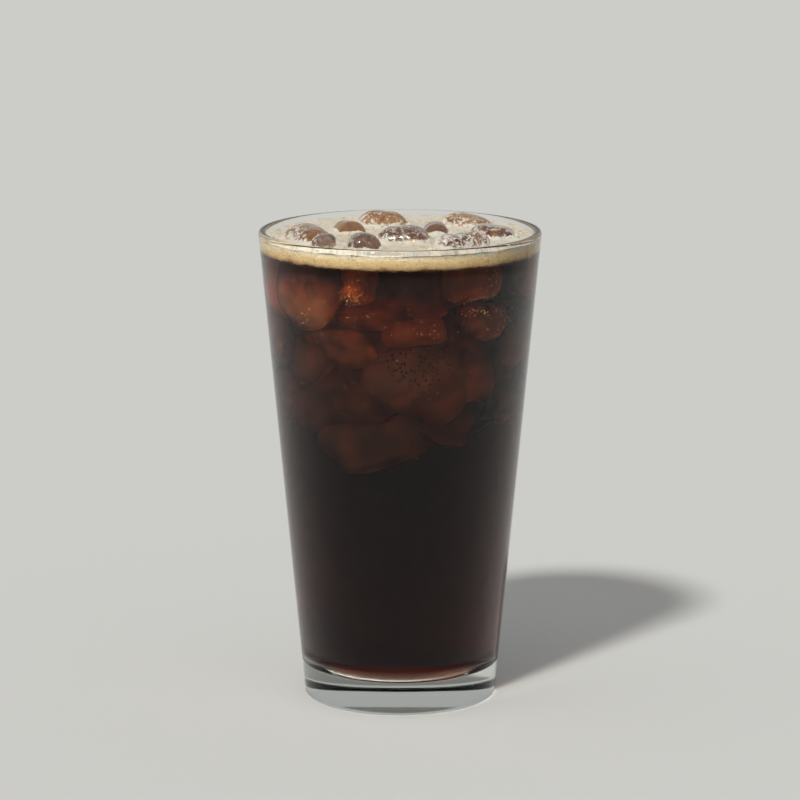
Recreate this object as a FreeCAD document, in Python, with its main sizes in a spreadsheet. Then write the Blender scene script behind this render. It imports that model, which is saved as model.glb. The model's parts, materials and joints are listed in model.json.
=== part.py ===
"""Iced americano in its glass: a straight-sided tumbler of thick clear glass, filled almost to
the rim with black coffee, a layer of pale foam on it, and lumps of half-melted ice that stand
through the foam.

Millimetres, +Z up. The origin is the middle of the ring that the glass stands on. Every round
piece is turned about Z. Across is +X, back is +Y.
"""
import FreeCAD, Part
import os

import Sketcher

doc = FreeCAD.newDocument("iced_americano")
sheet = doc.addObject("Spreadsheet::Sheet", "Sizes")

# ---------------------------------------------------------------- driving dimensions
SIZES = {
    # glass, outside
    "glass_height": 149.2,
    "rim_diameter": 88.9,
    "foot_diameter": 60.3,
    # glass, walls
    "rim_wall": 2.5,
    "foot_wall": 5.8,
    "base_thickness": 9.2,
    # glass, roundings, and the hollow under the base inside the ring it stands on
    "rim_rounding": 1.15,
    "foot_rounding": 1.6,
    "floor_rounding": 8.0,
    "hollow_depth": 1.2,
    "stand_ring": 4.5,
    # drink
    "foam_below_rim": 1.8,
    "foam_thickness": 4.6,
    # ice: its gaps to the wall and to its neighbours, how far below the foam's top its room in
    # the glass is measured, how round it is worn, and its top's width as a share of its bottom's
    "ice_wall_gap": 0.7,
    "ice_gap": 0.6,
    "ice_reach": 25.0,
    "ice_rounding": 6.5,
    "ice_taper": 0.86,
    # the most that a rounding takes of a wall with two rounded edges, of a ledge or floor with
    # one, and of a lump's narrower end
    "both_edges_share": 0.48,
    "one_edge_share": 0.8,
    "worn_share": 0.44,
}

# What follows from them. The outer and the inner wall are each one cone.
DERIVED = {
    "rim_radius": "=rim_diameter / 2",
    "foot_radius": "=foot_diameter / 2",
    "rim_inner_radius": "=rim_radius - rim_wall",
    "outer_slope": "=(rim_radius - foot_radius) / glass_height",
    "floor_radius": "=foot_radius + outer_slope * base_thickness - foot_wall",
    "inner_slope": "=(rim_inner_radius - floor_radius) / (glass_height - base_thickness)",
    "rim_fillet": "=min(rim_rounding; both_edges_share * rim_wall)",
    "foot_fillet": "=min(foot_rounding; one_edge_share * stand_ring)",
    "floor_fillet": "=min(floor_rounding; one_edge_share * floor_radius)",
    "hollow_radius": "=foot_radius - stand_ring",
    "foam_top": "=glass_height - foam_below_rim",
    "foam_bottom": "=foam_top - foam_thickness",
    "foam_top_radius": "=floor_radius + inner_slope * (foam_top - base_thickness)",
    "foam_bottom_radius": "=floor_radius + inner_slope * (foam_bottom - base_thickness)",
    "ice_room": "=floor_radius + inner_slope * (foam_top - ice_reach - base_thickness) - ice_wall_gap",
    "ice_worn_part": "=worn_share * min(1; ice_taper)",
}

# Each lump of ice: where its middle lies across and back, and how wide and deep the room is that
# it fills, as shares of the ice room; how far its middle is below the foam's top and how tall it
# is, in millimetres; and how it is turned, leaned and rolled, in degrees.
ICE_COLUMNS = ("across", "back", "wide", "deep", "sink", "tall", "turn", "lean", "roll")
ICE = {
    "ice_01": (-0.740, -0.225, 0.45, 0.64, 9.6, 29.0, 22.0, -4.0, 3.0),
    "ice_02": (-0.440, 0.215, 0.32, 0.40, 6.0, 19.0, 20.0, 10.0, -4.0),
    "ice_03": (-0.155, 0.570, 0.54, 0.44, 6.4, 22.0, 6.0, 6.0, -6.0),
    "ice_04": (-0.610, -0.678, 0.26, 0.21, 6.2, 22.0, 40.0, -2.0, 3.0),
    "ice_05": (-0.300, -0.735, 0.35, 0.37, 5.8, 22.0, 14.0, 4.0, 0.0),
    "ice_06": (0.030, -0.290, 0.54, 0.42, 6.4, 23.0, -6.0, -5.0, 4.0),
    "ice_07": (0.300, 0.120, 0.28, 0.38, 5.4, 18.0, 6.0, -4.0, 2.0),
    "ice_08": (0.555, 0.540, 0.58, 0.40, 6.4, 20.0, -40.0, 5.0, 5.0),
    "ice_09": (0.745, -0.050, 0.54, 0.52, 7.2, 22.0, -8.0, 4.0, -2.0),
    "ice_10": (0.500, -0.640, 0.60, 0.36, 5.6, 21.0, 36.0, -3.0, 2.0),
}

ice_cells = {f"{name}_{column}": value
             for name, row in ICE.items() for column, value in zip(ICE_COLUMNS, row)}
for line, (alias, value) in enumerate({**SIZES, **DERIVED, **ice_cells}.items(), start=1):
    sheet.set(f"A{line}", alias)
    sheet.set(f"B{line}", str(value))
    sheet.setAlias(f"B{line}", alias)
doc.recompute()

LOCATED_WITHIN = 1e-4  # how near an edge lies to where it is looked for


def size(alias):
    """The value of a cell of the sheet, as a number."""
    return float(sheet.get(alias))


# ---------------------------------------------------------------- turned pieces
def upright_sketch(body, name):
    """A sketch on the body's own XZ plane: its x is the radius and its y is the height."""
    sketch = body.newObject("Sketcher::SketchObject", name)
    plane = next(f for f in body.Origin.OriginFeatures if f.Role == "XZ_Plane")
    sketch.AttachmentSupport = [(plane, "")]
    sketch.MapMode = "FlatFace"
    sketch.Visibility = False
    return sketch


def bind(sketch, kind, side, end, alias):
    """Hold a point of the sketch at a distance from the origin that the sheet gives."""
    index = sketch.addConstraint(Sketcher.Constraint(kind, -1, 1, side, end, size(alias)))
    sketch.setExpression(f"Constraints[{index}]", f"Sizes.{alias}")


def turn_about_z(body, kind, name, sketch):
    turned = body.newObject(kind, name)
    turned.Profile = sketch
    turned.ReferenceAxis = (sketch, ["V_Axis"])
    turned.Angle = 360.0
    doc.recompute()


def turned_body(label, outline):
    """A body turned about Z from a closed outline of (radius, height) corners.

    Each corner is two cells of the sheet, or None for a radius or a height of nothing.
    """
    body = doc.addObject("PartDesign::Body", label)
    body.Label = label
    sketch = upright_sketch(body, f"{label}_outline")
    corners = [FreeCAD.Vector(*(size(term) if term else 0.0 for term in corner), 0)
               for corner in outline]
    sides = len(corners)
    for side in range(sides):
        sketch.addGeometry(Part.LineSegment(corners[side], corners[(side + 1) % sides]), False)
    for side in range(sides):
        sketch.addConstraint(Sketcher.Constraint("Coincident", side, 2, (side + 1) % sides, 1))
    for side, (radius, height) in enumerate(outline):
        for kind, axis, alias in (("DistanceX", -2, radius), ("DistanceY", -1, height)):
            if alias:
                bind(sketch, kind, side, 1, alias)
            else:
                sketch.addConstraint(Sketcher.Constraint("PointOnObject", side, 1, axis))
    turn_about_z(body, "PartDesign::Revolution", f"{label}_turned", sketch)
    return body


def round_edges(body, height, fillet, radius=None):
    """Round the circles of a turned body at one height, or only the one of a given radius."""
    def wanted(edge):
        box = edge.BoundBox
        level = max(abs(box.ZMin - height), abs(box.ZMax - height)) < LOCATED_WITHIN
        return level and (radius is None or abs(box.XMax - radius) < LOCATED_WITHIN)

    base = body.Tip
    rounding = body.newObject("PartDesign::Fillet", f"{body.Name}_{fillet}")
    rounding.Base = (base, [f"Edge{n}" for n, edge in enumerate(base.Shape.Edges, start=1)
                            if wanted(edge)])
    rounding.setExpression("Radius", f"Sizes.{fillet}")
    doc.recompute()


def hollow_under(body):
    """A shallow dished hollow under the base, so that the glass stands on a ring."""
    sketch = upright_sketch(body, "hollow_outline")
    edge = FreeCAD.Vector(size("hollow_radius"), 0, 0)
    top = FreeCAD.Vector(0, size("hollow_depth"), 0)
    middle = FreeCAD.Vector(0, 0, 0)
    bend = (edge.x ** 2 + top.y ** 2) / (2 * top.y)
    circle = Part.Circle(FreeCAD.Vector(0, top.y - bend, 0), FreeCAD.Vector(0, 0, 1), bend)
    arc = Part.ArcOfCircle(circle, circle.parameter(edge), circle.parameter(top))
    for line in (arc, Part.LineSegment(top, middle), Part.LineSegment(middle, edge)):
        sketch.addGeometry(line, False)
    # ends joined, the middle at the origin, the arc's top and centre on the axis
    for rule in (("Coincident", 0, 2, 1, 1), ("Coincident", 1, 2, 2, 1), ("Coincident", 2, 2, 0, 1),
                 ("Coincident", 1, 2, -1, 1), ("PointOnObject", 1, 1, -2),
                 ("PointOnObject", 2, 2, -1), ("PointOnObject", 0, 3, -2)):
        sketch.addConstraint(Sketcher.Constraint(*rule))
    bind(sketch, "DistanceX", 2, 2, "hollow_radius")
    bind(sketch, "DistanceY", 1, 1, "hollow_depth")
    before = body.Shape.Volume
    turn_about_z(body, "PartDesign::Groove", "hollow", sketch)
    # a shallow cap of a sphere, half as much as a cylinder of its size
    if body.Shape.Volume > before - edge.x ** 2 * top.y:
        raise RuntimeError("the hollow under the base cuts too little")


def glass():
    """The tumbler: a thick base, a wall that thins towards the rim, a fire-polished lip."""
    body = turned_body("glass", [
        (None, None), ("foot_radius", None), ("rim_radius", "glass_height"),
        ("rim_inner_radius", "glass_height"), ("floor_radius", "base_thickness"),
        (None, "base_thickness")])
    round_edges(body, size("glass_height"), "rim_fillet")
    round_edges(body, 0.0, "foot_fillet")
    round_edges(body, size("base_thickness"), "floor_fillet", size("floor_radius"))
    hollow_under(body)
    return body


# ---------------------------------------------------------------- ice
def ice_lump(name):
    """One half-melted lump: a block that tapers upwards, with every edge worn round."""
    body = doc.addObject("PartDesign::Body", name)
    body.Label = name
    block = body.newObject("PartDesign::AdditiveWedge", f"{name}_block")
    wide = f"(Sizes.{name}_wide * Sizes.ice_room - Sizes.ice_gap)"
    deep = f"(Sizes.{name}_deep * Sizes.ice_room - Sizes.ice_gap)"
    # the wedge tapers along its own Y, which the body's placement stands upright
    for axis, length, taper in (("X", wide, 1), ("Z", deep, 1), ("Y", f"Sizes.{name}_tall", 1),
                                ("X2", wide, "Sizes.ice_taper"), ("Z2", deep, "Sizes.ice_taper")):
        block.setExpression(f"{axis}min", f"-{length} / 2 * {taper}")
        block.setExpression(f"{axis}max", f"{length} / 2 * {taper}")
    doc.recompute()
    worn = body.newObject("PartDesign::Fillet", f"{name}_worn")
    worn.Base = (block, [f"Edge{n}" for n in range(1, len(block.Shape.Edges) + 1)])
    worn.setExpression("Radius", (
        f"min(Sizes.ice_rounding; Sizes.ice_worn_part * {wide}; Sizes.ice_worn_part * {deep})"))
    body.setExpression("Placement", (
        f"create(<<placement>>; create(<<vector>>; Sizes.{name}_across * Sizes.ice_room;"
        f" Sizes.{name}_back * Sizes.ice_room; Sizes.foam_top - Sizes.{name}_sink);"
        f" create(<<rotation>>; Sizes.{name}_turn; Sizes.{name}_lean; 90 + Sizes.{name}_roll))"))
    doc.recompute()
    return body


# ---------------------------------------------------------------- drink
def cut_round_ice(label, whole):
    """A layer of the drink, with a pocket for each lump that reaches into it."""
    layer = doc.addObject("Part::Cut", label)
    layer.Label = label
    layer.Base = whole
    layer.Tool = all_ice
    return layer


def coffee():
    """Black coffee from the glass's floor up to the foam."""
    whole = turned_body("coffee_whole", [
        (None, "base_thickness"), ("floor_radius", "base_thickness"),
        ("foam_bottom_radius", "foam_bottom"), (None, "foam_bottom")])
    round_edges(whole, size("base_thickness"), "floor_fillet", size("floor_radius"))
    return cut_round_ice("coffee", whole)


def foam():
    """The layer of foam on the coffee, out to the wall all round."""
    whole = turned_body("foam_whole", [
        (None, "foam_bottom"), ("foam_bottom_radius", "foam_bottom"),
        ("foam_top_radius", "foam_top"), (None, "foam_top")])
    return cut_round_ice("foam", whole)


lumps = [ice_lump(name) for name in ICE]
all_ice = doc.addObject("Part::MultiFuse", "all_ice")
all_ice.Shapes = lumps
sub_parts = [glass(), coffee(), foam(), *lumps]
doc.recompute()

# ---------------------------------------------------------------- check and write
for item in doc.Objects:
    if "Invalid" in item.State or "Error" in item.State:
        raise RuntimeError(f"{item.Label} failed: {item.State}")
for piece in sub_parts:
    if piece.Shape.isNull() or not piece.Shape.isValid() or len(piece.Shape.Solids) != 1:
        raise RuntimeError(f"{piece.Label} isn't one valid solid")

os.makedirs("parts", exist_ok=True)
MM3_IN_ML = 1000.0
for piece in sub_parts:
    piece.Shape.exportStep(f"parts/{piece.Label}.step")
    box = piece.Shape.optimalBoundingBox(False, False)
    print(f"{piece.Label:8s} {piece.Shape.Volume / MM3_IN_ML:7.2f} ml   x {box.XMin:6.1f} {box.XMax:6.1f}"
          f"   y {box.YMin:6.1f} {box.YMax:6.1f}   z {box.ZMin:6.1f} {box.ZMax:6.1f}")
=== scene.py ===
import json
import math
import random

import bmesh
import bpy
from bpy.props import FloatProperty, FloatVectorProperty, IntProperty, PointerProperty
from mathutils import Matrix, Vector, noise
from mathutils.bvhtree import BVHTree

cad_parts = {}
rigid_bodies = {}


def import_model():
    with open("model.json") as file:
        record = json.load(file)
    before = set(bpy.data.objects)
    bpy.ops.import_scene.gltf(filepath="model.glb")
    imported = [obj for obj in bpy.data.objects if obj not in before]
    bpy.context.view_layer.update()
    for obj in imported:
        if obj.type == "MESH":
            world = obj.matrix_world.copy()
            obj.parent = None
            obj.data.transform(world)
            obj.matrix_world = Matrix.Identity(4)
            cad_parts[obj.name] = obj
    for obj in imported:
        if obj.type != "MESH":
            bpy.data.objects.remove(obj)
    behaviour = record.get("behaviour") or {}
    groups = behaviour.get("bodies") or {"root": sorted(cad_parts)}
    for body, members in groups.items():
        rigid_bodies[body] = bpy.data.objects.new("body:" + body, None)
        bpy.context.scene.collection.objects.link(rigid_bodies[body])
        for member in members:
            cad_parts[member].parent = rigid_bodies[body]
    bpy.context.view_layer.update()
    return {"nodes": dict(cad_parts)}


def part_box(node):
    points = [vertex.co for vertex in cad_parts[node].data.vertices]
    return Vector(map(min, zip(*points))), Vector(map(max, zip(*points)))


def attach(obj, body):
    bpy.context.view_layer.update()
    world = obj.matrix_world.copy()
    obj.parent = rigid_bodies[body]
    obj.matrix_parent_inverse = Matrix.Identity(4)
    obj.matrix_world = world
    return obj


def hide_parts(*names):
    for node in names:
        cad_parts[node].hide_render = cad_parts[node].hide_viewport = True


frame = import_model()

bl_info = {
    "name": "Iced americano",
    "version": (1, 0, 0),
    "blender": (4, 5, 0),
    "location": "3D View > Sidebar > Iced americano",
    "description": "Dresses a glass of iced black coffee with foam and half-melted ice",
    "category": "Object",
}

MM = 0.001
BODY = "root"
ICE_NODES = sorted(name for name in frame["nodes"] if name.startswith("ice_"))

# What the frame gives: levels, and the inner wall, which is one cone.
RIM_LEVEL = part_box("glass")[1].z
COFFEE_LOW, COFFEE_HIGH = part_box("coffee")
FOAM_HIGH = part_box("foam")[1]
FLOOR_LEVEL = COFFEE_LOW.z
COFFEE_LEVEL = COFFEE_HIGH.z
FOAM_LEVEL = FOAM_HIGH.z
WALL_SLOPE = (FOAM_HIGH.x - COFFEE_HIGH.x) / (FOAM_LEVEL - COFFEE_LEVEL)


def wall_radius(level):
    """The inner wall's radius at a level."""
    return FOAM_HIGH.x + WALL_SLOPE * (level - FOAM_LEVEL)


# ---------------------------------------------------------------- settings a user would change
class DRINK_PG_glass(bpy.types.PropertyGroup):
    foot_radius: FloatProperty(
        name="Foot radius", description="The outer wall's radius at the ground",
        default=30.15 * MM, unit="LENGTH")
    rim_radius: FloatProperty(
        name="Rim radius", description="The outer wall's radius at the rim, before it is rounded",
        default=44.45 * MM, unit="LENGTH")
    rim_rounding: FloatProperty(
        name="Rim rounding", description="Radius of the fire-polished lip's edges",
        default=1.15 * MM, unit="LENGTH")
    foot_rounding: FloatProperty(
        name="Foot rounding", description="Radius of the foot's edge",
        default=1.6 * MM, unit="LENGTH")
    floor_rounding: FloatProperty(
        name="Floor rounding", description="Radius between the floor inside and the wall",
        default=8.0 * MM, unit="LENGTH")
    stand_ring: FloatProperty(
        name="Stand ring", description="Width of the ring between the foot's edge and the hollow",
        default=4.5 * MM, unit="LENGTH")
    hollow_depth: FloatProperty(
        name="Hollow depth", description="Depth of the dished hollow under the base",
        default=1.2 * MM, unit="LENGTH")
    steps: IntProperty(
        name="Steps", description="Steps round the glass and the coffee, half of the foam's",
        default=192)


class DRINK_PG_drink(bpy.types.PropertyGroup):
    into_wall: FloatProperty(
        name="Reach into the wall", description="How far what fills the glass reaches into it",
        default=0.12 * MM, unit="LENGTH")
    into_ice: FloatProperty(
        name="Reach into the ice", description="How far the foam reaches into the ice",
        default=0.12 * MM, unit="LENGTH")
    foam_cell: FloatProperty(
        name="Foam cell", description="Spacing of the rings of points on the foam's top",
        default=0.55 * MM, unit="LENGTH")
    coffee_clearness: FloatVectorProperty(
        name="Coffee clearness", description="What is left of each colour on a way of 10 mm",
        default=(0.40, 0.13, 0.05), subtype="NONE")


class DRINK_PG_ice(bpy.types.PropertyGroup):
    voxel: FloatProperty(
        name="Mesh size", description="Size of the standing lumps' faces", default=0.65 * MM,
        unit="LENGTH")
    dent: FloatProperty(
        name="Dent depth", description="How deep the melted dents are", default=0.7 * MM,
        unit="LENGTH")
    seed: IntProperty(
        name="Seed", description="Changes how the ice is worn and where bubbles sit", default=7)


# ---------------------------------------------------------------- materials
# Colours are sRGB hex values. Plain numbers are shares of the light or colour that stays.
def rgb(code):
    """A colour from its sRGB hex value, as the linear values that shaders take."""
    parts = [int(code[i:i + 2], 16) / 255 for i in (0, 2, 4)]
    return (*[c / 12.92 if c <= 0.04045 else ((c + 0.055) / 1.055) ** 2.4 for c in parts], 1.0)


def add(tree, kind, inputs=None, stops=(), **settings):
    """Adds a node. Settings are its own; inputs gives values or output sockets by input name or
    number, and stops the (place, colour) pairs of a colour ramp."""
    node = tree.nodes.new(kind)
    for name, value in settings.items():
        setattr(node, name, value)
    for name, value in (inputs or {}).items():
        socket = node.inputs[name]
        if isinstance(value, bpy.types.NodeSocket):
            tree.links.new(value, socket)
        else:
            socket.default_value = value
    if stops:
        while len(node.color_ramp.elements) < len(stops):
            node.color_ramp.elements.new(0.5)
        for element, (place, colour) in zip(node.color_ramp.elements, stops):
            element.position = place
            element.color = colour
    return node


def new_material(name):
    """An empty node material and its tree."""
    material = bpy.data.materials.new(name)
    material.use_nodes = True
    material.node_tree.nodes.clear()
    return material, material.node_tree


def clearness(left_on_10mm):
    """A clear body's colour and density, from the share of each colour left after 10 mm."""
    rates = [-math.log(max(share, 1e-4)) / (10 * MM) for share in left_on_10mm]
    density = max(rates)
    return {"Color": (*[1 - rate / density for rate in rates], 1), "Density": density}


def let_lamps_through(tree, surface, tint=(1, 1, 1, 1)):
    """Clear bodies bend what is seen through them but let the lamps' light straight in."""
    path = add(tree, "ShaderNodeLightPath")
    straight = add(tree, "ShaderNodeBsdfTransparent", {"Color": tint})
    mix = add(tree, "ShaderNodeMixShader", {
        "Fac": path.outputs["Is Shadow Ray"], 1: surface, 2: straight.outputs["BSDF"]})
    return mix.outputs["Shader"]


def finish_material(tree, surface, body_clearness=None):
    """Links the surface, and the clearness of the body behind it, to the output."""
    out = add(tree, "ShaderNodeOutputMaterial", {"Surface": surface})
    if body_clearness:
        body = add(tree, "ShaderNodeVolumeAbsorption", body_clearness)
        tree.links.new(body.outputs["Volume"], out.inputs["Volume"])


def soda_lime_glass():
    """Pressed soda-lime glass: clear, faintly grey where it is thick, very smooth. Its tint
    keeps the pale room's mirror image faint where the wall faces the eye."""
    material, tree = new_material("soda_lime_glass")
    body = add(tree, "ShaderNodeBsdfPrincipled", {
        "Base Color": (1, 1, 1, 1), "Roughness": 0.0, "IOR": 1.46, "Transmission Weight": 1.0,
        "Specular Tint": (0.28, 0.285, 0.29, 1)})
    finish_material(tree, let_lamps_through(tree, body.outputs["BSDF"], (0.97, 0.975, 0.97, 1)),
                    clearness((0.970, 0.976, 0.968)))
    return material


def black_coffee(left_on_10mm):
    """Filtered black coffee: red-brown in a thin layer, near black in depth, a still surface.
    It mirrors little where it wets the glass."""
    material, tree = new_material("black_coffee")
    body = add(tree, "ShaderNodeBsdfPrincipled", {
        "Base Color": (1, 1, 1, 1), "Roughness": 0.0, "IOR": 1.335, "Transmission Weight": 1.0,
        "Specular Tint": (0.15, 0.15, 0.15, 1)})
    finish_material(tree, let_lamps_through(tree, body.outputs["BSDF"]), clearness(left_on_10mm))
    return material


def coffee_foam():
    """Fine coffee foam: cream on top, tan towards the coffee, with small pores darkened by painted
    shade.
    """
    material, tree = new_material("coffee_foam")
    place = add(tree, "ShaderNodeTexCoord").outputs["Object"]
    level = add(tree, "ShaderNodeSeparateXYZ", {"Vector": place}).outputs["Z"]
    patches = add(tree, "ShaderNodeTexNoise", {
        "Vector": place, "Scale": 1 / (5 * MM), "Detail": 5.0, "Roughness": 0.65}).outputs["Fac"]

    # its colour by height, with an uneven border between the tan and the cream; on the top the
    # same ramp paints low spots a little darker and yellower, as painted shade
    uneven = add(tree, "ShaderNodeMath", {0: patches, 1: 2.2 * MM, 2: level},
                 operation="MULTIPLY_ADD")
    height = add(tree, "ShaderNodeMapRange", {
        "Value": uneven.outputs[0], "From Min": COFFEE_LEVEL + 0.9 * MM,
        "From Max": FOAM_LEVEL + 1.9 * MM})
    colour = add(tree, "ShaderNodeValToRGB", {"Fac": height.outputs["Result"]}, stops=[
        (0.0, rgb("5E4430")), (0.10, rgb("9A7850")), (0.26, rgb("CDAF7B")),
        (0.58, rgb("DCC595")), (0.74, rgb("D6CAB0")), (1.0, rgb("D6D0C4"))])

    # painted shade in the pores of open bubbles, in patches, drawn 0.85 mm apart so that they show
    pores = add(tree, "ShaderNodeTexVoronoi", {
        "Vector": place, "Scale": 1 / (0.85 * MM)}, feature="F1").outputs["Distance"]
    pore_shade = add(tree, "ShaderNodeValToRGB", {"Fac": pores}, stops=[
        (0.08, (0.50, 0.40, 0.31, 1)), (0.34, (1, 1, 1, 1))])
    where = add(tree, "ShaderNodeValToRGB", {"Fac": patches}, stops=[
        (0.42, (0.12, 0.12, 0.12, 1)), (0.60, (0.85, 0.85, 0.85, 1))])
    pored = add(tree, "ShaderNodeMix", {
        "Factor": where.outputs["Color"], "A": colour.outputs["Color"],
        "B": pore_shade.outputs["Color"]}, data_type="RGBA", blend_type="MULTIPLY")

    # tan specks where the foam is thin
    thin = add(tree, "ShaderNodeTexNoise", {
        "Vector": place, "Scale": 1 / (3.2 * MM), "Detail": 6.0, "Roughness": 0.7,
        "Distortion": 1.0})
    tan = add(tree, "ShaderNodeValToRGB", {"Fac": thin.outputs["Fac"]}, stops=[
        (0.30, (0.66, 0.52, 0.36, 1)), (0.47, (1, 1, 1, 1))])
    stained = add(tree, "ShaderNodeMix", {
        "Factor": 1.0, "A": pored.outputs["Result"], "B": tan.outputs["Color"]},
        data_type="RGBA", blend_type="MULTIPLY")

    bump = add(tree, "ShaderNodeBump", {
        "Height": pores, "Strength": 0.5, "Distance": 0.25 * MM})
    body = add(tree, "ShaderNodeBsdfPrincipled", {
        "Base Color": stained.outputs["Result"], "Roughness": 0.40, "IOR": 1.33,
        "Subsurface Weight": 0.25, "Subsurface Scale": 0.8 * MM,
        "Subsurface Radius": (1.0, 0.7, 0.45), "Normal": bump.outputs["Normal"]})
    finish_material(tree, body.outputs["BSDF"])
    return material


def clouded_body(tree, place):
    """The inside of a lump under the foam: amber and mauve-brown clouds, lighter or darker partly
    by painted light, with a warm glow painted where light would gather, dark spots of painted
    shade in its pits, and clearer towards its edges."""
    tone, glow, pits, solid = [
        add(tree, "ShaderNodeAttribute", attribute_name=name).outputs["Fac"]
        for name in ("tone", "glow", "pits", "solid")]
    cloud = add(tree, "ShaderNodeTexNoise", {
        "Vector": place, "Scale": 1 / (8 * MM), "Detail": 4.0, "Roughness": 0.55,
        "Distortion": 0.5})
    # how light the clouds are, shifted by a per-vertex lightness that is partly painted light
    varied = add(tree, "ShaderNodeMath", {0: cloud.outputs["Fac"], 1: 0.9, 2: -0.20},
                 operation="MULTIPLY_ADD")
    mixed = add(tree, "ShaderNodeMath", {0: varied.outputs[0], 1: tone}, operation="ADD")
    colour = add(tree, "ShaderNodeValToRGB", {"Fac": mixed.outputs[0]}, stops=[
        (0.15, rgb("2A1E1B")), (0.45, rgb("4A332A")), (0.75, rgb("7A5138")),
        (1.0, rgb("B07A4C"))])
    # painted glow: a warm orange painted on where light would gather
    warm = add(tree, "ShaderNodeMix", {
        "Factor": glow, "A": colour.outputs["Color"], "B": rgb("E89A50")}, data_type="RGBA")

    # pits that the melting opened, painted in as dark spots of shade
    holes = add(tree, "ShaderNodeTexVoronoi", {
        "Vector": place, "Scale": 1 / (1.35 * MM), "Randomness": 0.7}, feature="F1")
    spot = add(tree, "ShaderNodeValToRGB", {"Fac": holes.outputs["Distance"]}, stops=[
        (0.26, (1, 1, 1, 1)), (0.38, (0, 0, 0, 1))])
    spotted = add(tree, "ShaderNodeMath", {0: spot.outputs["Color"], 1: pits},
                  operation="MULTIPLY")
    pitted = add(tree, "ShaderNodeMix", {
        "Factor": spotted.outputs[0], "A": warm.outputs["Result"], "B": rgb("1E1410")},
        data_type="RGBA")

    body = add(tree, "ShaderNodeBsdfPrincipled", {
        "Base Color": pitted.outputs["Result"], "Roughness": 0.6, "IOR": 1.31,
        "Specular IOR Level": 0.0, "Subsurface Weight": 0.5, "Subsurface Scale": 3 * MM,
        "Subsurface Radius": (1.0, 0.55, 0.3)})
    unseen = add(tree, "ShaderNodeBsdfTransparent")
    faded = add(tree, "ShaderNodeMixShader", {
        "Fac": solid, 1: unseen.outputs["BSDF"], 2: body.outputs["BSDF"]})
    return faded.outputs["Shader"]


def sunk_ice_body():
    """Ice under the coffee: clouded through, with soft warm edges of painted light."""
    material, tree = new_material("sunk_ice")
    place = add(tree, "ShaderNodeTexCoord").outputs["Object"]
    finish_material(tree, let_lamps_through(tree, clouded_body(tree, place), (0.5, 0.4, 0.3, 1)))
    return material


def wet_ice(tree, place):
    """Ice in the air: part clear and part cloudy under a wavy wet skin, with frosty streaks of
    foam on it and pale rims of painted light where it turns from the eye."""
    film, amber = [
        add(tree, "ShaderNodeAttribute", attribute_name=name).outputs["Fac"]
        for name in ("film", "amber")]
    waves = add(tree, "ShaderNodeTexNoise", {
        "Vector": place, "Scale": 1 / (2.2 * MM), "Detail": 3.0})
    skin = add(tree, "ShaderNodeBump", {
        "Height": waves.outputs["Fac"], "Strength": 1.0, "Distance": 1.1 * MM}).outputs["Normal"]
    clear = add(tree, "ShaderNodeBsdfPrincipled", {
        "Base Color": rgb("FFF4EA"), "Roughness": 0.04, "IOR": 1.31, "Transmission Weight": 1.0,
        "Normal": skin})

    streaks = add(tree, "ShaderNodeTexNoise", {
        "Vector": place, "Scale": 1 / (4.5 * MM), "Detail": 4.0, "Roughness": 0.6,
        "Distortion": 1.2})
    shade = add(tree, "ShaderNodeMath", {0: streaks.outputs["Fac"], 1: 0.9, 2: amber},
                operation="MULTIPLY_ADD")
    heart = add(tree, "ShaderNodeValToRGB", {"Fac": shade.outputs[0]}, stops=[
        (0.28, rgb("432E31")), (0.48, rgb("72514E")), (0.68, rgb("B78552")),
        (0.92, rgb("E4BE90"))])
    cloudy = add(tree, "ShaderNodeBsdfPrincipled", {
        "Base Color": heart.outputs["Color"], "Roughness": 0.18, "IOR": 1.31,
        "Subsurface Weight": 0.6, "Subsurface Scale": 2.5 * MM,
        "Subsurface Radius": (1.0, 0.7, 0.5), "Coat Weight": 1.0, "Coat Roughness": 0.04,
        "Normal": skin})
    core = add(tree, "ShaderNodeMixShader", {
        "Fac": 0.42, 1: clear.outputs["BSDF"], 2: cloudy.outputs["BSDF"]})

    frost = add(tree, "ShaderNodeTexNoise", {
        "Vector": place, "Scale": 1 / (1.9 * MM), "Detail": 8.0, "Roughness": 0.78,
        "Distortion": 0.8})
    frosting = add(tree, "ShaderNodeMath", {0: frost.outputs["Fac"], 1: film}, operation="ADD")
    cover = add(tree, "ShaderNodeValToRGB", {"Fac": frosting.outputs[0]}, stops=[
        (0.58, (0, 0, 0, 1)), (0.65, (0.95, 0.95, 0.95, 1))])
    # painted light: pale rims where the surface turns from the eye, for the light its edges bend
    facing = add(tree, "ShaderNodeLayerWeight", {"Blend": 0.30}).outputs["Facing"]
    edge = add(tree, "ShaderNodeValToRGB", {"Fac": facing}, stops=[
        (0.45, (0, 0, 0, 1)), (0.90, (0.60, 0.60, 0.60, 1))])
    frost_and_painted_rims = add(tree, "ShaderNodeMath", {
        0: cover.outputs["Color"], 1: edge.outputs["Color"]}, operation="MAXIMUM")
    white = add(tree, "ShaderNodeBsdfPrincipled", {
        "Base Color": rgb("DAD2C6"), "Roughness": 0.35, "IOR": 1.31,
        "Subsurface Weight": 0.3, "Subsurface Scale": 1 * MM, "Normal": skin})
    cap = add(tree, "ShaderNodeMixShader", {
        "Fac": frost_and_painted_rims.outputs[0], 1: core.outputs["Shader"], 2: white.outputs["BSDF"]})
    return cap.outputs["Shader"]


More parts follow.
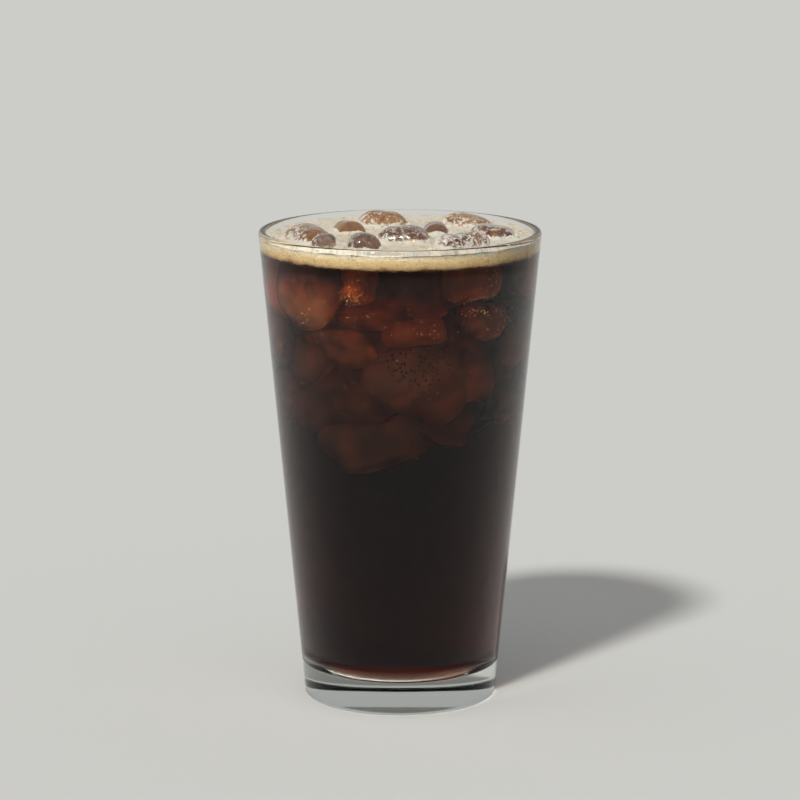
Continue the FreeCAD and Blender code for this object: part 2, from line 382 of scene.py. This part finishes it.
def melting_ice():
    """Half-melted ice: clear and wet above the foam with a frosty film, clouded below it."""
    material, tree = new_material("melting_ice")
    place = add(tree, "ShaderNodeTexCoord").outputs["Object"]
    level = add(tree, "ShaderNodeSeparateXYZ", {"Vector": place}).outputs["Z"]
    above = add(tree, "ShaderNodeMapRange", {
        "Value": level, "From Min": COFFEE_LEVEL + 1.2 * MM, "From Max": FOAM_LEVEL - 1.4 * MM})
    whole = add(tree, "ShaderNodeMixShader", {
        "Fac": above.outputs["Result"], 1: clouded_body(tree, place), 2: wet_ice(tree, place)})
    finish_material(tree, let_lamps_through(tree, whole.outputs["Shader"], (0.60, 0.50, 0.42, 1)),
                    clearness((0.80, 0.70, 0.62)))
    return material


def bubble_film():
    """The thin, clear skin of a foam bubble. The ball is solid, so it bends light less than
    water does."""
    material, tree = new_material("bubble_film")
    body = add(tree, "ShaderNodeBsdfPrincipled", {
        "Base Color": rgb("F6EEE2"), "Roughness": 0.02, "IOR": 1.16, "Transmission Weight": 1.0})
    finish_material(tree, let_lamps_through(tree, body.outputs["BSDF"], (0.85, 0.83, 0.80, 1)))
    return material


def gas_in_coffee():
    """Tiny gas bubbles in the coffee, painted pale gold as painted glints of the light they catch.
    """
    material, tree = new_material("gas_bubbles")
    body = add(tree, "ShaderNodeBsdfPrincipled", {
        "Base Color": rgb("F0C888"), "Roughness": 0.2, "IOR": 1.33})
    finish_material(tree, body.outputs["BSDF"])
    return material


def studio_floor():
    """A plain matte studio sweep, pale grey."""
    material, tree = new_material("studio_floor")
    body = add(tree, "ShaderNodeBsdfPrincipled", {
        "Base Color": rgb("CDCDCA"), "Roughness": 0.9, "Specular IOR Level": 0.1})
    finish_material(tree, body.outputs["BSDF"])
    return material


# ---------------------------------------------------------------- shared steps
WALL_STEPS = 24  # along each straight wall
WELD = 0.001 * MM  # points closer than this are one


def put_in_scene(name, bm, material, replaced=()):
    """Makes a finished, smooth piece of a bmesh, riding on the object's one body."""
    mesh = bpy.data.meshes.new(name)
    bm.to_mesh(mesh)
    bm.free()
    piece = bpy.data.objects.new(name, mesh)
    bpy.context.scene.collection.objects.link(piece)
    mesh.shade_smooth()
    mesh.materials.append(material)
    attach(piece, BODY)
    if replaced:
        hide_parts(*replaced)
    return piece


def finished(start):
    """The meshes of the finished pieces whose names start so."""
    return [piece.data for piece in bpy.data.objects if piece.name.startswith(start)]


def tree_of(start):
    """A search tree over the finished pieces whose names start so."""
    bm = bmesh.new()
    for mesh in finished(start):
        bm.from_mesh(mesh)
    tree = BVHTree.FromBMesh(bm)
    bm.free()
    return tree


def applied(source):
    """An object's mesh with its modifiers applied."""
    return bpy.data.meshes.new_from_object(
        source.evaluated_get(bpy.context.evaluated_depsgraph_get()))


def clamped(value, low=0.0, high=1.0):
    """A value, kept between two ends."""
    return max(low, min(high, value))


def wave(place, size, shift=Vector()):
    """Smooth noise between about -1 and 1, with waves of about a size."""
    return noise.noise(place / size + shift)


def about_axis(turn, away, level):
    """The place at a turn about Z, a distance from it and a level."""
    return Vector((away * math.cos(turn), away * math.sin(turn), level))


def arc(middle, radius, start, end, steps):
    """Points on an arc, in degrees from the +radius direction."""
    turns = [math.radians(start + (end - start) * i / steps) for i in range(steps + 1)]
    return [(middle[0] + radius * math.cos(turn), middle[1] + radius * math.sin(turn))
            for turn in turns]


def rounded_corner(before, corner, after, radius, steps=8):
    """The points of an arc that rounds the corner of three (radius, level) points."""
    a, b, c = (Vector(point) for point in (before, corner, after))
    to_before, to_after = (a - b).normalized(), (c - b).normalized()
    half = to_before.angle(to_after) / 2
    centre = b + (to_before + to_after).normalized() * radius / math.sin(half)
    first = b + to_before * radius / math.tan(half) - centre
    last = b + to_after * radius / math.tan(half) - centre
    turn = math.copysign(math.pi - 2 * half, first.x * last.y - first.y * last.x)
    points = []
    for i in range(steps + 1):
        angle = turn * i / steps
        points.append((centre.x + first.x * math.cos(angle) - first.y * math.sin(angle),
                       centre.y + first.x * math.sin(angle) + first.y * math.cos(angle)))
    return points


def line(start, end, steps):
    """Evenly spaced points between two, without either."""
    return [tuple(Vector(start).lerp(Vector(end), i / steps)) for i in range(1, steps)]


def turned(profile, steps):
    """A bmesh of a (radius, level) profile turned about Z; its ends lie on the axis."""
    bm = bmesh.new()
    points = [bm.verts.new((radius, 0, level)) for radius, level in profile]
    edges = [bm.edges.new(pair) for pair in zip(points, points[1:])]
    bmesh.ops.spin(bm, geom=points + edges, axis=(0, 0, 1), cent=(0, 0, 0),
                   angle=2 * math.pi, steps=steps, use_merge=True)
    bmesh.ops.remove_doubles(bm, verts=bm.verts, dist=WELD)
    bmesh.ops.recalc_face_normals(bm, faces=bm.faces)
    return bm


def even_out(bm, rounds):
    """Smooths a bmesh's bumps, in rounds."""
    for _ in range(rounds):
        bmesh.ops.smooth_vert(bm, verts=bm.verts, factor=0.5, use_axis_x=True, use_axis_y=True,
                              use_axis_z=True)


def remeshed(bm, voxel):
    """The same closed shape in even faces."""
    mesh = bpy.data.meshes.new("remesh_source")
    bm.to_mesh(mesh)
    bm.free()
    source = bpy.data.objects.new("remesh_source", mesh)
    bpy.context.scene.collection.objects.link(source)
    remesh = source.modifiers.new("even faces", "REMESH")
    remesh.mode = "VOXEL"
    remesh.voxel_size = voxel
    even = applied(source)
    bpy.data.objects.remove(source)
    bpy.data.meshes.remove(mesh)
    result = bmesh.new()
    result.from_mesh(even)
    bpy.data.meshes.remove(even)
    return result


def shrunk_copy(meshes, depth):
    """One mesh of several closed ones, each shrunk by a depth."""
    bm = bmesh.new()
    for mesh in meshes:
        bm.from_mesh(mesh)
    bm.normal_update()
    moved = [vert.co - vert.normal * depth for vert in bm.verts]
    for vert, place in zip(bm.verts, moved):
        vert.co = place
    result = bpy.data.meshes.new("pockets")
    bm.to_mesh(result)
    bm.free()
    return result


def cut_with(piece, cutter_mesh):
    """Cuts a mesh of closed shapes out of a piece for good."""
    cutter = bpy.data.objects.new("cutter", cutter_mesh)
    bpy.context.scene.collection.objects.link(cutter)
    cut = piece.modifiers.new("pockets", "BOOLEAN")
    cut.operation = "DIFFERENCE"
    cut.solver = "MANIFOLD"
    cut.object = cutter
    result = applied(piece)
    piece.modifiers.clear()
    whole = piece.data
    name = whole.name
    piece.data = result
    bpy.data.meshes.remove(whole)
    result.name = name
    result.shade_smooth()
    bpy.data.objects.remove(cutter)
    bpy.data.meshes.remove(cutter_mesh)


# ---------------------------------------------------------------- ice
# painted glow: sides that face this way are painted warm and light, where light would gather
GLOW_WAY = Vector((0.55, -0.25, -0.80)).normalized()  # light gathers on sides that face so
FILM_HEIGHT = 1.7 * MM  # above the foam, over which the film on the ice thins
CAD_WELD = 0.005 * MM

# Each standing lump: how light it is below the foam, which is painted light for the light that the
# foam keeps from it, how amber and how filmed above it and, for the one that lies before a large
# sunk lump, how much of it shows in the coffee.
STANDING_LOOKS = {
    "ice_01": (0.80, 0.26, 0.03), "ice_02": (0.50, 0.14, -0.20), "ice_03": (0.30, 0.24, 0.04),
    "ice_04": (0.38, -0.08, 0.00, 0.25), "ice_05": (0.60, -0.14, 0.01),
    "ice_06": (0.38, -0.12, 0.05), "ice_07": (0.26, -0.14, -0.06),
    "ice_08": (0.42, 0.28, 0.05), "ice_09": (0.50, 0.06, 0.07), "ice_10": (0.44, 0.02, 0.11),
}

# Ice that is wholly under the foam, each lump as: its azimuth in degrees from the front, the
# level of its middle, its width, depth and height and its gap to the wall in mm, its lean and
# roll in degrees, and how light it is, which is partly painted light: lumps high under the foam
# are painted lighter and deep ones darker. The widest fills the middle, behind the others.
SUNK_ICE = [
    (8, 109, 30, 24, 31, 1.5, 4, -12, 0.12),
    (-53, 133, 27, 15, 22, 0.9, 0, 8, 0.34),
    (-33, 118, 22, 17, 15, 2.2, 8, 12, 0.24),
    (-52, 112, 18, 16, 17, 2.3, -6, 24, 0.16),
    (6, 122, 24, 16, 13, 3.4, -14, -6, 0.40),
    (-14, 127, 26, 16, 14, 4.4, -8, 12, 0.34),
    (40, 109, 20, 15, 20, 3.0, 8, -16, 0.22),
    (-38, 100, 32, 20, 20, 2.6, 6, -10, 0.02),
    (-16, 88, 32, 18, 18, 2.4, 4, -16, -0.04),
    (46, 125, 18, 14, 14, 2.2, 0, 10, 0.30),
    (30, 94, 20, 14, 16, 4.5, 0, 22, 0.00),
    (0, 113, 62, 62, 54, 5.5, 0, 0, 0.18),
    (6, 134, 28, 16, 16, 7.0, 0, 8, 0.38),
    (78, 118, 22, 15, 18, 1.8, 8, -12, 0.24),
    (74, 98, 18, 15, 16, 2.2, 0, 16, 0.06),
    (-88, 117, 22, 15, 18, 1.8, -8, 14, 0.28),
    (-80, 100, 20, 15, 16, 2.2, 10, -8, 0.10),
    (-124, 126, 20, 15, 16, 1.8, 8, 8, 0.34),
    (-130, 108, 24, 16, 19, 1.8, -6, -14, 0.18),
    (-168, 121, 22, 15, 16, 1.8, 8, 12, 0.28),
    (166, 104, 26, 18, 21, 1.8, 0, -10, 0.14),
    (124, 123, 22, 15, 18, 1.8, -6, 10, 0.30),
    (118, 102, 20, 15, 17, 2.0, 6, 18, 0.12),
    (172, 88, 20, 15, 14, 2.4, 0, 8, 0.02),
]

# The sunk lump that the melting pitted, by its row, and the middle and reach of its pits in mm,
# which are painted in as dark spots of shade.
PITTED_LUMP = 0
PITS_AT = ((4, -34, 115), 15)

BLOCKINESS = 2.7  # 2 makes a sunk lump a ball, and more makes it squarer
UNDER_FOAM = 0.3 * MM  # the least between a sunk lump and the foam
SUNK_SEEDS_FROM = 50  # past those of the standing lumps


def melt(bm, dent, seed):
    """Wears a shape unevenly, mostly inwards: broad dents and a fine waviness."""
    even_out(bm, 3)
    bm.normal_update()
    shift = Vector((seed * 1.7, seed * 2.3, seed * 3.1))
    moves = []
    for vert in bm.verts:
        broad = wave(vert.co, 9 * MM, shift)
        fine = wave(vert.co, 3.2 * MM, shift)
        moves.append(-vert.normal * dent * (0.5 + 0.8 * broad + 0.25 * fine))
    for vert, move in zip(bm.verts, moves):
        vert.co += move
    even_out(bm, 2)
    bm.normal_update()


def set_marks(bm, tone, amber=0.0, film=0.0, milk=1.0, pits=None):
    """Keeps, per vertex, what the ice's materials read. Under the coffee: how light it is, which
    is partly painted light with edges painted lighter, where a warm glow is painted for light that
    would gather in it, where its pits are painted in as dark shade, and how much of it shows, of
    which milk is a share. In the air: how amber it is, and how much film is on it."""
    bm.normal_update()
    layers = {name: bm.verts.layers.float.new(name)
              for name in ("tone", "glow", "amber", "film", "pits", "solid")}
    for vert in bm.verts:
        outward = Vector((vert.co.x, vert.co.y, 0)).normalized().dot(vert.normal)
        # painted light: the clear edges are painted lighter than the middle, for the light they
        # pass
        thin = (1 - max(0.0, outward)) ** 2  # its clear edges pass more light than its middle
        facing = max(0.0, vert.normal.dot(GLOW_WAY))
        patch = 0.8 + 0.9 * wave(vert.co, 7 * MM)
        cloudy = 0.90 + 0.45 * wave(vert.co, 10 * MM)
        near_foam = clamped((FOAM_LEVEL + FILM_HEIGHT - vert.co.z) / FILM_HEIGHT)
        vert[layers["tone"]] = tone + 0.45 * thin * (0.4 + tone)
        # painted glow on the sides that face the glow's way, where light would gather
        vert[layers["glow"]] = clamped((0.26 + 1.3 * tone) * facing ** 3 * patch)
        vert[layers["solid"]] = milk * clamped(2.2 * outward * cloudy, 0.12, 0.93)
        vert[layers["amber"]] = amber
        vert[layers["film"]] = film + 0.17 * near_foam + 0.10 * max(0.0, -vert.normal.x)
        if pits:
            middle, reach = pits
            away = (vert.co - Vector(middle) * MM).length / (reach * MM)
            vert[layers["pits"]] = clamped(2.2 * (1 - away))


def standing_lump(name, voxel, dent, seed):
    """The bmesh of a lump that stands through the foam, from its CAD solid."""
    bm = bmesh.new()
    bm.from_mesh(frame["nodes"][name].data)
    bmesh.ops.remove_doubles(bm, verts=bm.verts, dist=CAD_WELD)
    bm = remeshed(bm, voxel)
    melt(bm, dent, seed)
    set_marks(bm, *STANDING_LOOKS[name])
    return bm


def pebble(seed):
    """The bmesh of a shape between a block and a ball, 2 across, unevenly worn."""
    bm = bmesh.new()
    bmesh.ops.create_icosphere(bm, subdivisions=5, radius=1.0)
    shift = Vector((seed * 0.37, seed * 0.61, seed * 0.83))
    for vert in bm.verts:
        way = vert.co.normalized()
        blocky = sum(abs(part) ** BLOCKINESS for part in way) ** (-1 / BLOCKINESS)
        worn = 1 + 0.29 * noise.noise(way * 1.3 + shift) + 0.09 * noise.noise(way * 3.0 + shift)
        vert.co = way * blocky * worn
    return bm


def sunk_lump(azimuth, level, extent, gap, lean, roll, dent, seed):
    """The bmesh of one wholly sunk lump, held by the glass's wall and the foam."""
    bm = pebble(seed)
    bmesh.ops.scale(bm, verts=bm.verts, vec=Vector(extent) * 0.5 * MM)
    away = wall_radius(level * MM) - (gap + 0.5 * extent[1]) * MM
    place = (Matrix.Rotation(math.radians(azimuth), 4, "Z")
             @ Matrix.Translation((0, -away, level * MM))
             @ Matrix.Rotation(math.radians(lean), 4, "X")
             @ Matrix.Rotation(math.radians(roll), 4, "Y"))
    bmesh.ops.transform(bm, matrix=place, verts=bm.verts)
    for vert in bm.verts:
        room = wall_radius(vert.co.z) - 0.85 * gap * MM
        reach = math.hypot(vert.co.x, vert.co.y)
        if reach > room:
            vert.co.x *= room / reach
            vert.co.y *= room / reach
        vert.co.z = min(vert.co.z, COFFEE_LEVEL - UNDER_FOAM)
    even_out(bm, 5)
    melt(bm, 0.4 * dent, seed)
    return bm


# ---------------------------------------------------------------- foam
def foam_rise(place, to_wall, to_ice):
    """How far the foam's top rises at a place: swells and a fine grain, a lip at the wall, banks
    against the ice, and dimples where bubbles burst."""
    rise = wave(place, 6 * MM) * 0.45 * MM
    rise += wave(place, 1.6 * MM) * 0.14 * MM
    rise += 0.45 * MM * math.exp(-to_wall / (1.2 * MM))
    rise += (0.75 + 1.1 * wave(place, 3.5 * MM)) * MM * math.exp(-to_ice / (1.3 * MM))
    to_dimple = noise.voronoi(place / (1.9 * MM))[0][0]
    rise -= 0.30 * MM * max(0.0, 1 - to_dimple / 0.30)
    return rise


def foam_stray(place):
    """How far the foam's ragged lower edge strays up or down, which fades within 2 mm."""
    stray = wave(place, 4 * MM) * 0.5 * MM
    stray += wave(place, 1.2 * MM) * 0.35 * MM
    return stray * max(0.0, 1 - (place.z - COFFEE_LEVEL) / (2 * MM))


# ---------------------------------------------------------------- bubbles
FOAM_BUBBLES = 420
FOAM_REACH = 41 * MM
EDGE_BUBBLES = 1100
WALL_BUBBLES = 170

# Where gas gathers round the ice: the middle and spread in mm, and how many bubbles.
GAS_AT = [
    ((-13, -38, 133), (3.4, 0.8, 3), 130), ((24, -33, 131), (5, 0.8, 1.6), 120),
    ((28, -29, 138), (3, 1, 2), 44), ((-28, -28, 127), (5, 1, 3), 40),
    ((8, -36, 123), (7, 1, 1.5), 60), ((30, -24, 124), (4, 1, 1.5), 30),
    ((20, 32, 130), (8, 1, 4), 40), ((-20, 32, 130), (8, 1, 4), 40),
    ((-36, 8, 130), (1, 8, 4), 30), ((37, 0, 130), (1, 8, 4), 30),
]


def ball(bm, middle, radius, detail=1):
    """Adds a small ball to a bmesh."""
    bmesh.ops.create_icosphere(bm, subdivisions=detail, radius=radius,
                               matrix=Matrix.Translation(middle))


def balls_on_foam(pick, foam, standing):
    """Bubbles on the foam's top, most of them along the standing ice."""
    bm = bmesh.new()
    made = 0
    while made < FOAM_BUBBLES:
        turn, reach = pick.uniform(0, 2 * math.pi), math.sqrt(pick.random())
        over = about_axis(turn, reach * FOAM_REACH, RIM_LEVEL + 5 * MM)
        hit = foam.ray_cast(over, Vector((0, 0, -1)))[0]
        if hit is None or hit.z < COFFEE_LEVEL + 2 * MM:
            continue
        to_ice = standing.find_nearest(hit)[3]
        if pick.random() > 0.06 + math.exp(-to_ice / (1.1 * MM)):
            continue
        radius = (0.16 + 0.55 * pick.random() ** 3) * MM
        ball(bm, hit + Vector((0, 0, 0.25 * radius)), radius, 2)
        made += 1
    return bm


def balls_at_edge(pick):
    """Bubbles on the wall, along the foam's lower edge."""
    bm = bmesh.new()
    for _ in range(EDGE_BUBBLES):
        turn = pick.uniform(0, 2 * math.pi)
        level = COFFEE_LEVEL + (0.35 - 0.9 * pick.random() ** 1.6) * MM
        level += 0.4 * MM * noise.noise(about_axis(turn, 9, 0))
        radius = (0.10 + 0.20 * pick.random() ** 2) * MM
        ball(bm, about_axis(turn, wall_radius(level) - radius, level), radius)
    return bm


def balls_in_coffee(pick, ice):
    """Gas bubbles that gather on and near the ice in the coffee, and some along the wall."""
    bm = bmesh.new()
    for middle, spread, count in GAS_AT:
        for _ in range(count):
            near = Vector([pick.gauss(c, s) for c, s in zip(middle, spread)]) * MM
            hit, normal = ice.find_nearest(near)[:2]
            radius = (0.07 + 0.13 * pick.random() ** 3) * MM
            outside = (near - hit).dot(normal) > 0
            place = hit.lerp(near, 0.5) if outside else hit + normal * radius
            if place.z < COFFEE_LEVEL - 0.5 * MM:
                ball(bm, place, radius)
    for _ in range(WALL_BUBBLES):
        turn, level = pick.uniform(0, 2 * math.pi), pick.triangular(75, 142, 138) * MM
        radius = (0.07 + 0.10 * pick.random()) * MM
        away = wall_radius(level) - pick.uniform(0.3, 1.2) * MM
        ball(bm, about_axis(turn, away, level), radius)
    return bm


# ---------------------------------------------------------------- operators
class DRINK_OT_glass(bpy.types.Operator):
    """Makes the tumbler: one turned body with a thick base and a fire-polished lip"""
    bl_idname = "drink.glass"
    bl_label = "Glass"

    def execute(self, context):
        size = context.scene.drink_glass
        foot = (size.foot_radius, 0)
        lip_out = (size.rim_radius, RIM_LEVEL)
        lip_in = (wall_radius(RIM_LEVEL), RIM_LEVEL)
        floor_edge = (wall_radius(FLOOR_LEVEL), FLOOR_LEVEL)
        floor_middle = (0, FLOOR_LEVEL)
        ring = (size.foot_radius - size.stand_ring, 0)
        dish_radius = (size.hollow_depth ** 2 + ring[0] ** 2) / (2 * size.hollow_depth)
        spread = math.degrees(math.asin(ring[0] / dish_radius))
        hollow = arc((0, size.hollow_depth - dish_radius), dish_radius, 90, 90 - spread, 10)
        foot_arc = rounded_corner(ring, foot, lip_out, size.foot_rounding)
        out_arc = rounded_corner(foot, lip_out, lip_in, size.rim_rounding)
        in_arc = rounded_corner(lip_out, lip_in, floor_edge, size.rim_rounding)
        floor_arc = rounded_corner(lip_in, floor_edge, floor_middle, size.floor_rounding)
        profile = (hollow + foot_arc + line(foot_arc[-1], out_arc[0], WALL_STEPS) + out_arc
                   + in_arc + line(in_arc[-1], floor_arc[0], WALL_STEPS) + floor_arc
                   + line(floor_arc[-1], floor_middle, 8) + [floor_middle])
        put_in_scene("tumbler", turned(profile, size.steps), soda_lime_glass(),
                     ["glass"])
        return {"FINISHED"}


class DRINK_OT_ice(bpy.types.Operator):
    """Makes the lumps that stand through the foam, and those that are sunk in the coffee"""
    bl_idname = "drink.ice"
    bl_label = "Ice"

    def execute(self, context):
        ice = context.scene.drink_ice
        material = melting_ice()
        for number, name in enumerate(ICE_NODES):
            lump = standing_lump(name, ice.voxel, ice.dent, ice.seed + number)
            put_in_scene(f"lump_{name[-2:]}", lump, material, [name])
        sunk = bmesh.new()
        for number, row in enumerate(SUNK_ICE):
            azimuth, level, wide, deep, tall, gap, lean, roll, tone = row
            lump = sunk_lump(azimuth, level, (wide, deep, tall), gap, lean, roll, ice.dent,
                             ice.seed + SUNK_SEEDS_FROM + number)
            set_marks(lump, tone, pits=PITS_AT if number == PITTED_LUMP else None)
            mesh = bpy.data.meshes.new("lump")
            lump.to_mesh(mesh)
            lump.free()
            sunk.from_mesh(mesh)
            bpy.data.meshes.remove(mesh)
        put_in_scene("sunk_ice", sunk, sunk_ice_body())
        return {"FINISHED"}


class DRINK_OT_coffee(bpy.types.Operator):
    """Makes the coffee: a turned body that holds the ice and reaches just into the glass"""
    bl_idname = "drink.coffee"
    bl_label = "Coffee"

    def execute(self, context):
        drink, glass = context.scene.drink_fill, context.scene.drink_glass
        top = COFFEE_LEVEL + 0.25 * MM
        floor = FLOOR_LEVEL - drink.into_wall
        edge = (wall_radius(floor) + drink.into_wall, floor)
        side = (wall_radius(top) + drink.into_wall, top)
        corner = rounded_corner((0, floor), edge, side, glass.floor_rounding)
        profile = ([(0, floor)] + line((0, floor), corner[0], 8) + corner
                   + line(corner[-1], side, WALL_STEPS) + [side] + line(side, (0, top), 12)
                   + [(0, top)])
        put_in_scene("coffee_fill", turned(profile, glass.steps),
                     black_coffee(drink.coffee_clearness), ["coffee"])
        return {"FINISHED"}


class DRINK_OT_foam(bpy.types.Operator):
    """Makes the foam layer, piled against the ice and ragged where it meets the coffee"""
    bl_idname = "drink.foam"
    bl_label = "Foam"

    def execute(self, context):
        drink, glass = context.scene.drink_fill, context.scene.drink_glass
        low_wall = wall_radius(COFFEE_LEVEL) + drink.into_wall
        top_wall = wall_radius(FOAM_LEVEL) + drink.into_wall
        low_rings, top_rings = 24, int(wall_radius(FOAM_LEVEL) / drink.foam_cell)
        bottom = [(low_wall * i / low_rings, COFFEE_LEVEL) for i in range(low_rings + 1)]
        side = line((low_wall, COFFEE_LEVEL), (top_wall, FOAM_LEVEL), 9)
        top = [(top_wall * (1 - i / top_rings), FOAM_LEVEL) for i in range(top_rings + 1)]
        bm = turned(bottom + side + top, 2 * glass.steps)
        ice = tree_of("lump_")
        middle = (COFFEE_LEVEL + FOAM_LEVEL) / 2
        for vert in bm.verts:  # the top's outermost ring stays at the wall
            to_wall = top_wall - math.hypot(vert.co.x, vert.co.y)
            if vert.co.z > middle and to_wall > 0.1 * drink.foam_cell:
                vert.co.z += foam_rise(vert.co, to_wall, ice.find_nearest(vert.co)[3])
            elif vert.co.z < middle:
                vert.co.z += foam_stray(vert.co)
        bm.normal_update()
        piece = put_in_scene("foam_layer", bm, coffee_foam(), ["foam"])
        cut_with(piece, shrunk_copy(finished("lump_"), drink.into_ice))
        return {"FINISHED"}


class DRINK_OT_bubbles(bpy.types.Operator):
    """Makes the bubbles on the foam, along its lower edge, and in the coffee"""
    bl_idname = "drink.bubbles"
    bl_label = "Bubbles"

    def execute(self, context):
        pick = random.Random(context.scene.drink_ice.seed)
        foam, standing, ice = tree_of("foam_layer"), tree_of("lump_"), tree_of(("lump_", "sunk"))
        foam_look = bpy.data.objects["foam_layer"].data.materials[0]
        put_in_scene("foam_bubbles", balls_on_foam(pick, foam, standing), bubble_film())
        put_in_scene("edge_bubbles", balls_at_edge(pick), foam_look)
        put_in_scene("gas_bubbles", balls_in_coffee(pick, ice), gas_in_coffee())
        return {"FINISHED"}


# The studio: which way its sun shines, how strongly and how softly, how bright the room is, and
# the camera's place in metres, its tilt and its focal length in mm.
KEY_WAY = Vector((0.31, 0.61, -0.73))
KEY_STRENGTH = 2.55
KEY_SPREAD = math.radians(6)
ROOM_STRENGTH = 0.42
CAMERA_AT = (0, -1.2447, 0.3394)
CAMERA_TILT = math.radians(90 - 11.116)
FOCAL_LENGTH = 181.05


class DRINK_OT_stage(bpy.types.Operator):
    """Sets the pale floor, the soft studio light and the camera"""
    bl_idname = "drink.stage"
    bl_label = "Stage"

    def execute(self, context):
        scene = context.scene
        bm = bmesh.new()
        bmesh.ops.create_grid(bm, x_segments=8, y_segments=8, size=8.0)
        mesh = bpy.data.meshes.new("floor")
        bm.to_mesh(mesh)
        bm.free()
        mesh.materials.append(studio_floor())
        floor = bpy.data.objects.new("floor", mesh)
        scene.collection.objects.link(floor)

        key = bpy.data.lights.new("key", "SUN")
        key.energy = KEY_STRENGTH
        key.angle = KEY_SPREAD
        key.color = (1.0, 0.985, 0.955)
        sun = bpy.data.objects.new("key", key)
        sun.rotation_euler = KEY_WAY.to_track_quat("-Z", "Y").to_euler()
        scene.collection.objects.link(sun)

        world = bpy.data.worlds.new("studio")
        world.use_nodes = True
        background = world.node_tree.nodes["Background"]
        background.inputs["Color"].default_value = (0.98, 0.99, 1.0, 1)
        background.inputs["Strength"].default_value = ROOM_STRENGTH
        scene.world = world

        lens = bpy.data.cameras.new("camera")
        lens.sensor_width = 36.0
        lens.lens = FOCAL_LENGTH
        lens.clip_end = 50.0
        camera = bpy.data.objects.new("camera", lens)
        camera.location = CAMERA_AT
        camera.rotation_euler = (CAMERA_TILT, 0, 0)
        scene.collection.objects.link(camera)
        scene.camera = camera
        scene.view_settings.view_transform = "Standard"
        scene.cycles.transparent_max_bounces = 32
        return {"FINISHED"}


class DRINK_PT_panel(bpy.types.Panel):
    """Lists the drink's pieces and their settings"""
    bl_idname = "DRINK_PT_panel"
    bl_label = "Iced americano"
    bl_space_type = "VIEW_3D"
    bl_region_type = "UI"
    bl_category = "Iced americano"

    def draw(self, context):
        for operator in OPERATORS:
            self.layout.operator(operator.bl_idname)
        for name in SETTINGS:
            settings = getattr(context.scene, name)
            box = self.layout.box()
            for prop in settings.bl_rna.properties:
                if prop.identifier not in {"rna_type", "name"}:
                    box.prop(settings, prop.identifier)


SETTINGS = {"drink_glass": DRINK_PG_glass, "drink_fill": DRINK_PG_drink, "drink_ice": DRINK_PG_ice}
OPERATORS = [DRINK_OT_stage, DRINK_OT_glass, DRINK_OT_ice, DRINK_OT_coffee, DRINK_OT_foam,
             DRINK_OT_bubbles]


def register():
    """Makes the classes and their settings known to Blender."""
    for cls in [*SETTINGS.values(), *OPERATORS, DRINK_PT_panel]:
        bpy.utils.register_class(cls)
    for name, group in SETTINGS.items():
        setattr(bpy.types.Scene, name, PointerProperty(type=group))


def unregister():
    """Takes back what register did."""
    for name in SETTINGS:
        delattr(bpy.types.Scene, name)
    for cls in [DRINK_PT_panel, *reversed(OPERATORS), *reversed(SETTINGS.values())]:
        bpy.utils.unregister_class(cls)


def main():
    """Runs every operator in turn."""
    register()
    for operator in OPERATORS:
        getattr(bpy.ops.drink, operator.bl_idname.split(".")[1])()


if __name__ == "__main__":
    main()
